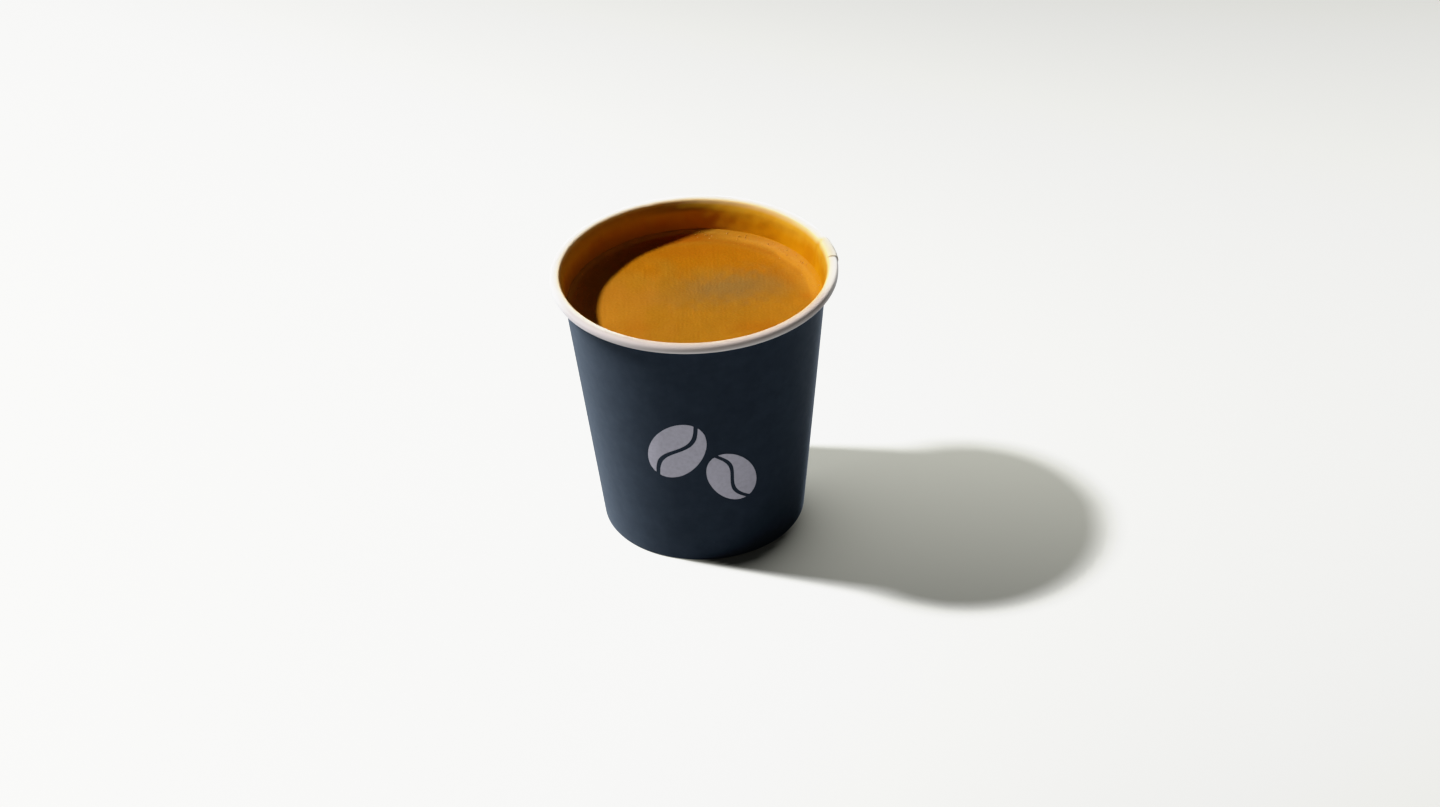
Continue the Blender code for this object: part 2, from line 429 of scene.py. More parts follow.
def wall_path(cup):
    """Middle line of the wall's board as (radius, height), from the inner fold's top to the curl's end.

    Straight lines for the plies, quarter circles at the foot, a cubic blend into the roll, and a superellipse
    for the roll, which tightens a little towards its hidden end. Gives the first rows of the wall and roll.
    """
    plies = 2 * (cup.board + cup.gap)  # from the wall's middle to the inner fold's
    corner = 0.3 * MM
    low = cup.board / 2 + corner
    outer = wall_middle(cup, low)
    inner = outer - plies
    fold_top = (wall_middle(cup, cup.fold_height) - plies, cup.fold_height)
    fold = np.linspace(fold_top, (inner, low), FOLD_ROWS + 1)[:-1]
    turn_in = ellipse_arc((inner + corner, low), (corner, corner), 180, 270, 5)
    turn_up = ellipse_arc((outer - corner, low), (corner, corner), 270, 360, 5)
    wall = np.linspace((outer, low), (wall_middle(cup, cup.flare_from), cup.flare_from), 26)[1:]
    centre = np.array(roll_centre(cup))
    half = np.array([(cup.roll_width - cup.board) / 2, (cup.roll_tall - cup.board) / 2])
    roll_start, roll_end, tightens_from, tighter = 165, -150, -60, 0.16
    angles = np.linspace(roll_start, roll_end, 44)
    tighten = 1.0 - tighter * ease(angles, tightens_from, roll_end)
    heading = np.stack([np.cos(np.radians(angles)), np.sin(np.radians(angles))], axis=1)
    squared = np.sign(heading) * np.abs(heading) ** (2 / cup.roll_squareness)
    roll = centre + half * squared * tighten[:, None]
    t = np.linspace(0, 1, 8)[1:-1, None]
    reach = np.linalg.norm(roll[0] - wall[-1])
    leave = np.array([cup.spread, 1.0]) * reach
    arrive = (roll[1] - roll[0]) / np.linalg.norm(roll[1] - roll[0]) * reach
    lean = ((2 * t**3 - 3 * t**2 + 1) * wall[-1] + (t**3 - 2 * t**2 + t) * leave
            + (-2 * t**3 + 3 * t**2) * roll[0] + (t**3 - t**2) * arrive)
    path = np.concatenate([fold, turn_in, turn_up, wall, lean, roll])
    first_wall = len(fold) + len(turn_in) + len(turn_up)
    first_roll = first_wall + len(wall) + len(lean)
    return path, first_wall, first_roll


def path_normals(path):
    """Unit normals of a path, a quarter turn anticlockwise from its heading."""
    heading = np.gradient(path, axis=0)
    heading /= np.linalg.norm(heading, axis=1, keepdims=True)
    return np.stack([-heading[:, 1], heading[:, 0]], axis=1)


def wall_lift(cup, azimuth, path, first_wall, first_roll, printed):
    """How far a side of the wall moves out along its normal: the lap's rise, less the dent past it.

    azimuth is a column and the path a row, so the result is a grid."""
    rows = np.arange(len(path))[None, :]
    up_roll = ease(rows, first_roll, first_roll + 10)
    rise = cup.seam_rise * lap(cup, azimuth)
    if printed:
        on_wall = ease(rows, first_wall - 1, first_wall + 1)
        return rise * on_wall * (1 - up_roll)
    on_wall = ease(rows, first_wall, first_wall + 2)
    dent = DENT * groove(cup, azimuth)
    return rise * up_roll - dent * on_wall * (1 - 0.6 * up_roll)


def wall_side(cup, azimuth, printed):
    """Grid (azimuths, path) of points on one side of the wall's board.

    Each point is the middle line plus half the board along its normal, plus the lift. The whole board
    then follows the panel's waves, the roll has a slight wander and one small nick, and the inner fold's
    top is crimped."""
    path, first_wall, first_roll = wall_path(cup)
    normals = path_normals(path) * (-1.0 if printed else 1.0)
    azimuth = azimuth[:, None]
    lift = cup.board / 2 + wall_lift(cup, azimuth, path, first_wall, first_roll, printed)
    radius = path[:, 0] + normals[:, 0] * lift
    height = path[:, 1] + normals[:, 1] * lift
    rows = np.arange(len(path))[None, :]
    on_wall = ease(rows, first_wall, first_wall + 3) * (rows < first_roll)
    on_roll = ease(rows, first_roll - 6, first_roll + 4)
    radius = radius + panel(azimuth, height) * on_wall
    radius = radius + ROLL_WANDER * (wander(azimuth, 6, 5) - INWARD) * on_roll
    lower = TOP_WANDER * (wander(azimuth, 7, 6) - INWARD)
    lower = lower - NICK_DEPTH * bell(np.degrees(azimuth), NICK_AZIMUTH, NICK_WIDTH)
    height = height + on_roll * lower
    crimp = (rows < FOLD_ROWS) * (1 - rows / FOLD_ROWS)
    radius = radius + CRIMP_DEPTH * crimp * np.sin(CRIMPS * azimuth)
    return radius, height


def wall_grid(cup, azimuth):
    """Closed grid of the wall: its white side out along the path, and its printed side back."""
    sides = zip(wall_side(cup, azimuth, False), wall_side(cup, azimuth, True))
    return revolve(*[there_and_back(white, printed) for white, printed in sides], azimuth[:, None])


def path_lengths(path):
    """Distance along a path to each of its points."""
    return np.concatenate([[0.0], np.cumsum(np.linalg.norm(np.diff(path, axis=0), axis=1))])


def film_end(cup, drink, azimuth):
    """Distance along the board to the film's upper edge: short of the roll's crest, with soft uneven runs."""
    path, _, first_roll = wall_path(cup)
    crest = path_lengths(path)[first_roll + int(np.argmax(path[first_roll:, 1]))]
    runs = 0.14 * MM * wander(azimuth, 9, 41) + 0.05 * MM * wander(azimuth * 3, 24, 42)
    further = sum(reach * bell(np.degrees(azimuth), centre, width) for centre, width, reach in FILM_REACHES)
    return crest - drink.film_top - runs + further


def wall_marks(cup, drink, azimuth):
    """Point marks of the wall: printed is 1 on the outside up to the roll, raw is 1 on the seam's cut edge,
    seam is 1 on the lapped part of the roll, stain fades with distance past the film's edge and reaches
    further at the front, where it is painted shade with the crema's warm reflection, and painted_rim_shade is
    1 past that edge at the front, and further out at the front's left: painted shade on the rim's top and
    outer face there, which turn away from the key light."""
    path, first_wall, first_roll = wall_path(cup)
    rows = np.arange(len(path))[None, :]
    every = np.ones((len(azimuth), 1))
    nothing = 0.0 * every * rows
    on_roll = every * (rows >= first_roll - 4)
    degrees = signed_degrees(azimuth)[:, None]
    past_seam = signed_degrees(azimuth - np.radians(cup.seam_azimuth))[:, None]
    past_film = path_lengths(path)[None, :] - film_end(cup, drink, azimuth)[:, None]
    # Past the film's edge the board is stained; at the front the stain reaches further, and that extra reach
    # is painted shade with a painted warm reflection of the crema on the rim
    reach = (0.70 + 0.55 * np.clip(np.cos(azimuth + np.radians(55)), 0.0, 1.0))[:, None] * MM
    soaked = 0.85 * np.exp(-np.maximum(past_film, 0.0) / reach) * (rows >= first_wall)
    left = ease(degrees, -100, -135)
    begin, end = 1.3 * MM * left, 3.2 * MM + 1.6 * MM * left
    front = band(degrees, -170, -145, -33, -8) * (rows >= first_wall)
    tinged = front * band(past_film, begin - 0.8 * MM, begin, end - 1.2 * MM, end)
    return {
        "printed": there_and_back(nothing, every * (rows >= FOLD_ROWS)),
        "raw": (np.abs(past_seam + 0.06) < 0.1) * np.ones(2 * len(path)),
        "seam": lap(cup, azimuth)[:, None] * there_and_back(on_roll, on_roll),
        "stain": there_and_back(soaked, nothing),
        "painted_rim_shade": there_and_back(tinged, nothing),
    }


def base_rings(cup, azimuth):
    """Rings of the base from the middle of its top, out, down its skirt and back under to the middle.

    The board's middle line is a slightly sagging disc, a quarter circle and a straight skirt."""
    level = BASE_HIGH.z - cup.board / 2
    corner = 0.5 * MM
    skirt_low = BASE_LOW.z + 0.02 * MM
    top_radius = cup.base_radius + cup.spread * (level - corner - skirt_low) - cup.board / 2
    disc = np.linspace((0.4 * MM, level), (top_radius - corner, level), 34)
    sag = 0.25 * MM * (1 - (disc[:, 0] / top_radius) ** 2)
    disc[:, 1] -= sag
    bend = ellipse_arc((top_radius - corner, level - corner), (corner, corner), 90, 0, 7)[1:]
    skirt = np.linspace(bend[-1], (cup.base_radius - cup.board / 2, skirt_low), 8)[1:]
    path = np.concatenate([disc, bend, skirt])
    normals = path_normals(path)
    top = path + normals * cup.board / 2
    under = (path - normals * cup.board / 2)[::-1]
    outline = np.concatenate([top, under])
    return revolve(outline[:, None, 0], outline[:, None, 1], azimuth[None, :])


# Shape of the drink


def inner_radius(cup, height):
    """Radius of the wall's inner face."""
    return wall_middle(cup, height) - cup.board / 2


def crema_rise(cup, drink, radius, azimuth):
    """Height of the crema: its level, plus an exponential climb at the wall, plus low waves and fine foam.

    The waves and the foam settle to nothing at the wall."""
    inside = inner_radius(cup, drink.level) - radius
    x, y = radius * np.cos(azimuth), radius * np.sin(azimuth)
    climb = drink.climb * (1 + 0.10 * wander(azimuth, 9, 21)) * np.exp(-inside / drink.climb_reach)
    climb = np.minimum(climb, CREMA_HIGH.z - drink.level)
    waves = ripples(x, y, 14 * MM, 12, 3) + 0.35 * ripples(x, y, 4 * MM, 14, 4)
    foam = FOAM_RELIEF * ripples(x, y, 0.9 * MM, 24, 7)
    settle = 1 - np.exp(-inside / SETTLE_REACH)
    return drink.level + climb + (drink.relief * waves + foam) * settle


def spot(x, y, centre, radii, power=2.0):
    """A round patch in the plane: exp(-(distance from the centre, in radii) to a power)."""
    far = np.hypot((x - centre[0] * MM) / (radii[0] * MM), (y - centre[1] * MM) / (radii[1] * MM))
    return np.exp(-far ** power)


def patches(x, y, table):
    """Sum of the round patches of a table, each times its share."""
    return sum(share * spot(x, y, centre, radii) for share, centre, radii in table)


def crema_marks(radius, azimuth):
    """Shares of the crema's tones, each a patch or band in the plane bent by smooth noise.

    pale is the foam ring along the wall at the right and back, thin the patch where coffee shows through,
    deep the redder streaks, with a painted shadow near the wall at the back and a painted redder tone along
    the edge of the rim's shadow, golden the yellower back and rosy the paler left. wet is the edge that is
    drawn up the wall and has the film's tone, darkened as painted shade, and painted_left_shade its browner
    part on the left, which is painted shade too."""
    x, y = radius * np.cos(azimuth), radius * np.sin(azimuth)
    out = radius / MM
    degrees = signed_degrees(azimuth)
    bend = ripples(x, y, 9 * MM, 10, 31)
    fine = ripples(x, y, 3 * MM, 16, 32)
    ring = 0.9 * bell(out, 26.3 + 0.2 * bend, 0.85) * band(degrees, -14, 12, 66, 84)
    shoulder = ease(out, 21.5, 24) * band(degrees, -6, 8, 32, 56)
    pale = ring + 0.35 * shoulder + patches(x, y, PALE_PATCHES)
    bent_x, bent_y = x + 0.8 * MM * bend, y - 0.7 * MM * fine
    thin = 0.85 * spot(bent_x, bent_y - 0.12 * (x - 11 * MM), (8.6, 5.6), (13.6, 6.4), 2.6)
    thin = thin + patches(x, y, THIN_PATCHES)
    edge = bell(out, 25.0, 0.7) * band(degrees, 10, 30, 120, 150)
    # Painted shadow: darker near the wall at the back, where the back of the rim casts its shadow
    back = ease(out, 24.2, 26.2) * band(degrees, 74, 90, 100, 130)
    deep = np.minimum(patches(x, y, DEEP_PATCHES) + 0.5 * edge + back, 1.0)
    golden = 0.8 * ease((y + 0.25 * x) / MM + 2 * bend, 6, 18) * ease(out, 25, 23)
    rosy = 0.8 * ease(2.5 * bend - x / MM, 4, 18) * ease(y / MM, 15, 5)
    wet = ease(out, 26.5, 27.2)
    painted_left_shade = left_share(azimuth) * np.ones_like(radius)
    return {"pale": pale, "thin": thin, "deep": deep, "golden": golden, "rosy": rosy, "wet": wet,
            "painted_left_shade": painted_left_shade}


def crema_rings(cup, drink, azimuth):
    """Rings of the crema: its top from the middle out, closer together at the wall, then its side and bottom.

    The rim of the top reaches just into the board, so that no gap shows at the wall."""
    first, border = 0.35 * MM, 3.0 * MM
    t = np.linspace(0, 1, 118) ** 0.8
    flat = first + t * (inner_radius(cup, drink.level) - border - first)
    edge = inner_radius(cup, drink.level + drink.climb) + INTO_BOARD
    near = edge - (edge - flat[-1]) * (1 - np.linspace(0, 1, 26)[1:]) ** 1.3
    radius = np.concatenate([flat, near])[:, None] * np.ones_like(azimuth)[None, :]
    angle = azimuth[None, :] * np.ones_like(radius)
    top = revolve(radius, crema_rise(cup, drink, radius, angle), angle)
    low = CREMA_LOW.z
    side = [(inner_radius(cup, h) - cup.gap / 3, h) for h in np.linspace(drink.level - 0.3 * MM, low, 4)]
    under = [(share * side[-1][0], low) for share in (0.8, 0.4, 0.05)]
    outline = np.array(side + under)
    rest = revolve(outline[:, None, 0], outline[:, None, 1], azimuth[None, :])
    pad = np.zeros((len(outline), len(azimuth)))
    marks = {mark: np.concatenate([values, pad]) for mark, values in crema_marks(radius, angle).items()}
    return np.concatenate([top, rest]), marks


def film_grid(cup, drink, azimuth):
    """Closed grid of the film on the wall: up its wet face from under the crema to an uneven edge, and back.

    Both faces follow the white side of the board, found by distance along it. The wet face stands off the
    board by the film's thickness, which runs out at the edge, and the other face lies in the board."""
    radius, height = wall_side(cup, azimuth, False)
    path, first_wall, first_roll = wall_path(cup)
    normals = path_normals(path)
    along = path_lengths(path)
    on_wall = slice(first_wall, first_roll)
    start = np.interp(CREMA_LOW.z + 1.5 * MM, path[on_wall, 1], along[on_wall])
    end = film_end(cup, drink, azimuth)[:, None]
    t = 1 - (1 - np.linspace(0, 1, 42)) ** 1.4
    at = start + (end - start) * t[None, :]
    columns = np.arange(len(azimuth))[:, None]
    whole = np.interp(at, along, np.arange(len(along)))
    low_row = np.clip(whole.astype(int), 0, len(along) - 2)
    part = whole - low_row

    def read(values):
        return values[columns, low_row] * (1 - part) + values[columns, low_row + 1] * part

    face = read(radius), read(height)
    across = [read(np.broadcast_to(normals[:, k], radius.shape)) for k in (0, 1)]
    thick = drink.film * np.sqrt(np.clip((1 - t) / 0.12, 0.0, 1.0))
    thick = thick * (1 + 0.35 * ripples(at, azimuth[:, None] * 25 * MM, 3 * MM, 12, 43))
    thick = np.maximum(thick, THINNEST_FILM)
    sides = [there_and_back(face[k] + across[k] * thick, face[k] - across[k] * FILM_DEEP) for k in (0, 1)]
    left = left_share(azimuth)[:, None]
    degrees = signed_degrees(azimuth)[:, None]
    # Painted shade on the shaded left: the film turns darker and redder, most low down and less again near
    # its top
    painted_left_shade = 0.9 - 0.9 * ease(t, 0.3, 0.75) + 0.4 * ease(t, 0.8, 1.0)
    # Painted shade: the film is darkened towards black on the right, where the key light falls most squarely
    # on it, and near its top at the back, which is in shade
    dim = 0.22 * bell(degrees, 0, 16) + 0.4 * bell(degrees, 93, 15) * ease(t, 0.7, 0.82)
    fade = ease(end - at, (1.5 - 0.4 * left) * MM, 0)
    tones = {"up": t + 0.2 * left, "fade": fade, "painted_left_shade": left * painted_left_shade, "dim": dim}
    shares = {name: np.broadcast_to(share, at.shape) for name, share in tones.items()}
    tones = {name: there_and_back(share, share) for name, share in shares.items()}
    return revolve(*sides, azimuth[:, None]), tones


def bubble_domes(cup, drink):
    """Fine bubbles along the wall: balls whose middles lie 0.55 of their radius under the crema's surface.

    Their places are drawn near the wall, most often at the back on the right."""
    draw = np.random.default_rng(51)
    count = drink.bubbles
    azimuth = np.radians(draw.normal(60, 95, count))
    widths = MM * draw.gamma(3.0, 0.045, count).clip(0.06, 0.22)
    inset = widths + MM * draw.gamma(1.2, 0.7, count)
    radius = inner_radius(cup, drink.level) - inset
    height = crema_rise(cup, drink, radius, azimuth) - widths * 0.55
    tilt, round_it = np.meshgrid(np.linspace(0, np.pi, 7)[1:-1], turns(10), indexing="ij")
    ball = revolve(np.sin(tilt), np.cos(tilt), round_it)
    solids = []
    for place, width in zip(revolve(radius, height, azimuth), widths):
        points, quads = round_solid(ball * width)
        points[-2:] = (0, 0, width), (0, 0, -width)
        solids.append((points + place, quads))
    return joined(solids)


def bean_half(cup, centre, lean, length, width, side):
    """Front and back grids of half a coffee bean on the wall: the strip between an ellipse and an S curve.

    Across the bean the strip runs from the slit, a sine wave of its length, to the ellipse's edge."""
    nearly_tip, sway, aside, thinnest = 0.985, 0.13, 0.045, 0.05 * MM
    t = np.linspace(-nearly_tip, nearly_tip, 40)[:, None]
    v = np.linspace(0, 1, 10)[None, :]
    edge = width / 2 * np.sqrt(1 - t**2)
    slit = sway * width * np.sin(np.pi * t) * side + aside * width
    inner = np.minimum(slit, edge - thinnest)
    across = side * (inner + (edge - inner) * v)
    along = length / 2 * t * np.ones_like(v)
    tip = np.radians(lean)
    over = centre[0] + across * np.cos(tip) - along * np.sin(tip)
    up = centre[1] + across * np.sin(tip) + along * np.cos(tip)
    azimuth = -np.pi / 2 + over / wall_middle(cup, up)
    face = wall_middle(cup, up) + cup.board / 2 + panel(azimuth, up)
    return revolve(face + INK_PROUD, up, azimuth), revolve(face - INK_DEEP, up, azimuth)


# Finishes


def new_finish(name, roughness, **sockets):
    """A material with a Principled shader and its own uniform numbers, ready for its pattern."""
    material = bpy.data.materials.new(name)
    material.use_nodes = True
    shader = material.node_tree.nodes["Principled BSDF"]
    shader.inputs["Roughness"].default_value = roughness
    for socket, value in sockets.items():
        shader.inputs[socket.replace("_", " ")].default_value = value
    return material, material.node_tree


def painted(material, **sockets):
    """The material, with its pattern plugged into the shader's sockets."""
    tree = material.node_tree
    plug_all(tree, tree.nodes["Principled BSDF"], sockets)
    return material


def add(tree, kind, settings=None, **sockets):
    """Adds a node, sets its settings, and links or sets its sockets."""
    node = tree.nodes.new(kind)
    for key, value in (settings or {}).items():
        setattr(node, key, value)
    plug_all(tree, node, sockets)
    return node


def plug_all(tree, node, sockets):
    """Links or sets several sockets of a node by name."""
    for name, value in sockets.items():
        plug(tree, value, node.inputs[name.replace("_", " ")])


def plug(tree, value, socket):
    """Links an output to a socket, or sets the socket to a plain value."""
    if isinstance(value, bpy.types.NodeSocket):
        tree.links.new(value, socket)
    elif hasattr(value, "__len__") and len(value) == 3 and socket.type == "RGBA":
        socket.default_value = (*value, 1.0)
    else:
        socket.default_value = value


def blend(tree, share, first, second):
    """Mixes two colours."""
    node = tree.nodes.new("ShaderNodeMix")
    node.data_type = "RGBA"
    for value, index in ((share, 0), (first, 6), (second, 7)):
        plug(tree, value, node.inputs[index])
    return node.outputs[2]


def reckon(tree, how, first, second, clamp=False):
    """Arithmetic on numbers."""
    node = tree.nodes.new("ShaderNodeMath")
    node.operation, node.use_clamp = how, clamp
    for value, socket in zip((first, second), node.inputs):
        plug(tree, value, socket)
    return node.outputs[0]


def plus(tree, first, second):
    """Sum of two numbers."""
    return reckon(tree, "ADD", first, second)


def times(tree, first, second, clamp=False):
    """Product of two numbers."""
    return reckon(tree, "MULTIPLY", first, second, clamp)


def mark(tree, name):
    """A point mark of the piece, as a number."""
    return add(tree, "ShaderNodeAttribute", {"attribute_name": name}).outputs["Fac"]


def place(tree):
    """The piece's own coordinates."""
    return add(tree, "ShaderNodeTexCoord").outputs["Object"]


def noise(tree, per_mm, detail, roughness=0.5, vector=None, distortion=0.0):
    """Noise in the piece's own coordinates, with about so many features to a millimetre."""
    node = add(tree, "ShaderNodeTexNoise", Vector=vector or place(tree), Scale=per_mm / MM, Detail=detail,
               Roughness=roughness, Distortion=distortion)
    return node.outputs["Fac"]


def remap(tree, value, low, high, to_low=0.0, to_high=1.0):
    """Stretches a number from one range to another, clamped."""
    node = add(tree, "ShaderNodeMapRange", Value=value, From_Min=low, From_Max=high, To_Min=to_low,
               To_Max=to_high)
    return node.outputs[0]


def patchy(tree, per_mm, detail, *ranges):
    """Noise stretched from one range to another."""
    return remap(tree, noise(tree, per_mm, detail), *ranges)


def bump(tree, height, strength, depth):
    """Normal of a bumpy surface of the given depth."""
    return add(tree, "ShaderNodeBump", Height=height, Strength=strength, Distance=depth).outputs[0]


def board_bump(tree, strength, depth):
    """Normal of coated board, from long soft mottle and short fibres."""
    return bump(tree, plus(tree, noise(tree, 0.35, 4.0), times(tree, noise(tree, 3.0, 3.0), 0.35)), strength,
                depth)


def tinted(base, *factors):
    """A colour times a factor for each channel."""
    return tuple(channel * factor for channel, factor in zip(base, factors))


def white_board(tree, colours, per_mm, detail):
    """White with slightly creamier patches."""
    cream = tinted(colours.board, 0.97, 0.96, 0.94)
    return blend(tree, patchy(tree, per_mm, detail, 0.4, 0.7), colours.board, cream)


def printed_board(colours):
    """White coated board with a dark matt print where the printed mark is 1, and a raw cut edge."""
    material, tree = new_finish("printed_board", 0.6, Specular_IOR_Level=0.05, Sheen_Weight=0.27,
                                Sheen_Roughness=0.4, Sheen_Tint=(0.64, 0.79, 1.0, 1.0))
    lighter = tuple(c * 1.18 + 0.001 for c in colours.navy)
    ink = blend(tree, remap(tree, noise(tree, 0.25, 5.0, 0.6), 0.35, 0.68), colours.navy, lighter)
    ink = blend(tree, patchy(tree, 4.0, 1.0, 0.79, 0.83, 0.0, 0.5), ink, PINHOLE)
    white = white_board(tree, colours, 0.15, 3.0)
    beige = tinted(colours.board, 0.74, 0.69, 0.57)
    white = blend(tree, times(tree, mark(tree, "seam"), 0.8), white, beige)
    # Painted shade and reflection: at the front the rim's board turns greyer, and darker peach where the
    # stain reaches, as that side turns from the key light and takes the crema's warm reflection
    soaked = tinted(colours.stain, 0.74, 0.64, 0.62)
    tinged = blend(tree, mark(tree, "stain"), colours.painted_rim_shade, soaked)
    white = blend(tree, mark(tree, "stain"), white, colours.stain)
    white = blend(tree, mark(tree, "painted_rim_shade"), white, tinged)
    face = blend(tree, mark(tree, "printed"), white, ink)
    face = blend(tree, times(tree, mark(tree, "raw"), 0.8), face, colours.raw_board)
    matt = patchy(tree, 0.6, 3.0, 0.3, 0.7, 0.64, 0.78)
    glaze = remap(tree, mark(tree, "printed"), 0.0, 1.0, -0.16, 0.0)
    return painted(material, Base_Color=face, Roughness=plus(tree, matt, glaze),
                   Normal=board_bump(tree, 0.25, 0.03 * MM))


def plain_board(colours):
    """White coated board."""
    material, tree = new_finish("plain_board", 0.5, Specular_IOR_Level=0.3)
    return painted(material, Base_Color=white_board(tree, colours, 0.2, 4.0),
                   Roughness=patchy(tree, 0.7, 3.0, 0.3, 0.7, 0.44, 0.58),
                   Normal=board_bump(tree, 0.3, 0.04 * MM))


def motif_ink(colours):
    """Pale ink with a slightly uneven cover."""
    material, tree = new_finish("motif_ink", 0.55, Specular_IOR_Level=0.25)
    thin = tinted(colours.ink, 0.88, 0.88, 0.88)
    return painted(material, Base_Color=blend(tree, patchy(tree, 1.2, 4.0, 0.4, 0.7), colours.ink, thin),
                   Roughness=patchy(tree, 0.7, 3.0, 0.3, 0.7, 0.5, 0.62),
                   Normal=board_bump(tree, 0.25, 0.03 * MM))


def crema_foam(colours):
    """Velvety foam, whose tones follow the piece's marks, with fine speckle and bubbles."""
    material, tree = new_finish("crema_foam", 0.5, Specular_IOR_Level=0.05, Subsurface_Weight=0.12,
                                Subsurface_Scale=0.6 * MM, Subsurface_Radius=(1.0, 0.5, 0.2))
    speckle = remap(tree, noise(tree, 2.2, 5.0, 0.65), 0.32, 0.68)
    cloud = remap(tree, noise(tree, 0.12, 4.0, 0.55, distortion=0.6), 0.36, 0.66)
    cool, warm = tinted(colours.crema, 0.96, 0.96, 0.97), tinted(colours.crema, 1.06, 1.04, 1.0)
    tone = blend(tree, cloud, cool, warm)
    tone = blend(tree, mark(tree, "golden"), tone, colours.crema_golden)
    tone = blend(tree, mark(tree, "rosy"), tone, colours.crema_rosy)
    ragged = plus(tree, 0.88, times(tree, cloud, 0.24))
    for name in ("thin", "deep", "pale"):
        share = times(tree, mark(tree, name), ragged, clamp=True)
        tone = blend(tree, share, tone, getattr(colours, "crema_" + name))
    tone = blend(tree, speckle, blend(tree, 0.14, tone, FOAM_PIT), tone)
    # Painted shade: the edge that climbs the wall takes the film's tone, darkened to hold down the brighter
    # light on the climb near the right wall, and on the left the film's shaded tone
    film = tinted(colours.film, 0.72, 0.66, 1.0)
    wet = blend(tree, mark(tree, "painted_left_shade"), film, colours.film_in_shade)
    tone = blend(tree, mark(tree, "wet"), tone, wet)
    cells = add(tree, "ShaderNodeTexVoronoi", {"feature": "F1"}, Scale=3.2 / MM, Vector=place(tree))
    height = plus(tree, speckle, times(tree, cells.outputs["Distance"], 0.6))
    return painted(material, Base_Color=tone, Roughness=remap(tree, speckle, 0.0, 1.0, 0.60, 0.46),
                   Normal=bump(tree, height, 0.3, 0.03 * MM))


def coffee_film(colours):
    """Thin wet coffee on white board: golden where it is thin near its edge, with painted shade that makes it
    darker and redder lower down and on the left and darker on the right and near its top at the back, and
    fading into the soaked board at the edge itself."""
    material, tree = new_finish("coffee_film", 0.45, Specular_IOR_Level=0.06)
    squeezed = add(tree, "ShaderNodeMapping", Vector=place(tree), Scale=(1.0, 1.0, 0.5)).outputs[0]
    runs = remap(tree, noise(tree, 0.22, 4.0, 0.5, squeezed), 0.30, 0.70)
    tone = blend(tree, runs, tinted(colours.film, 0.86, 0.76, 0.7), colours.film)
    wobble = times(tree, reckon(tree, "SUBTRACT", runs, 0.5), 0.2)
    up = plus(tree, mark(tree, "up"), wobble)
    tone = blend(tree, remap(tree, up, 0.58, 1.0), tone, colours.film_thin)
    # Painted shade: the darker, redder tone on the shaded left, then black mixed in on the right and near the
    # top at the back
    tone = blend(tree, mark(tree, "painted_left_shade"), tone, colours.film_in_shade)
    tone = blend(tree, mark(tree, "dim"), tone, BLACK)
    tone = blend(tree, times(tree, mark(tree, "fade"), 0.85), tone, colours.stain)
    return painted(material, Base_Color=tone, Roughness=remap(tree, runs, 0.0, 1.0, 0.55, 0.42),
                   Normal=bump(tree, runs, 0.3, 0.05 * MM))


def bubble_skin(colours):
    """Glossy skin of the bubbles, in the crema's tones."""
    material, tree = new_finish("bubble_skin", 0.3, Specular_IOR_Level=0.2)
    tone = blend(tree, patchy(tree, 0.8, 2.0, 0.35, 0.65), colours.crema, colours.crema_pale)
    return painted(material, Base_Color=tone, Roughness=patchy(tree, 3.0, 2.0, 0.3, 0.7, 0.24, 0.4))


def dark_coffee(colours):
    """Clear dark coffee under the crema."""
    material, tree = new_finish("dark_coffee", 0.1, Specular_IOR_Level=0.5)
    redder = tinted(colours.coffee, 1.8, 1.3, 1.1)
    tone = blend(tree, patchy(tree, 0.1, 3.0, 0.35, 0.65), colours.coffee, redder)
    return painted(material, Base_Color=tone, Roughness=patchy(tree, 0.5, 2.0, 0.3, 0.7, 0.06, 0.16))


# Operators


class ESPRESSO_OT_cup_wall(bpy.types.Operator):
    """Makes the wall of the cup: one board with a rolled rim, a lapped seam and a folded foot"""

    bl_idname = "espresso.cup_wall"
    bl_label = "Cup wall"

    def execute(self, context):
        cup, colours = context.scene.espresso_cup, context.scene.espresso_colours
        azimuth = seam_azimuths(cup, WALL_STEPS)
        points, quads = ring_solid(wall_grid(cup, azimuth))
        marks = wall_marks(cup, context.scene.espresso_drink, azimuth)
        wall = new_piece("paper_wall", points, quads, marks, [printed_board(colours)])
        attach(wall, BODY)
        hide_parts("cup_wall")
        return {"FINISHED"}


class ESPRESSO_OT_cup_base(bpy.types.Operator):
    """Makes the raised base of the cup, with its skirt in the fold of the foot"""

    bl_idname = "espresso.cup_base"
    bl_label = "Cup base"

    def execute(self, context):
        cup, colours = context.scene.espresso_cup, context.scene.espresso_colours
        points, quads = round_solid(base_rings(cup, turns(BASE_STEPS)))
        base = new_piece("paper_base", points, quads, uses=[plain_board(colours)])
        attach(base, BODY)
        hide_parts("base_disc")
        return {"FINISHED"}


class ESPRESSO_OT_crema(bpy.types.Operator):
    """Makes the crema from wall to wall, and gives the coffee under it its finish"""

    bl_idname = "espresso.crema"
    bl_label = "Crema"

    def execute(self, context):
        scene = context.scene
        rings, marks = crema_rings(scene.espresso_cup, scene.espresso_drink, turns(DRINK_STEPS))
        points, quads = round_solid(rings)
        for name, values in marks.items():
            marks[name] = np.append(values.ravel(), [values[0].mean(), 0.0])
        crema = new_piece("crema_layer", points, quads, marks, [crema_foam(scene.espresso_colours)])
        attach(crema, BODY)
        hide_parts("crema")
        coffee = frame["nodes"]["espresso"]
        coffee.material_slots[0].material = dark_coffee(scene.espresso_colours)
        return {"FINISHED"}


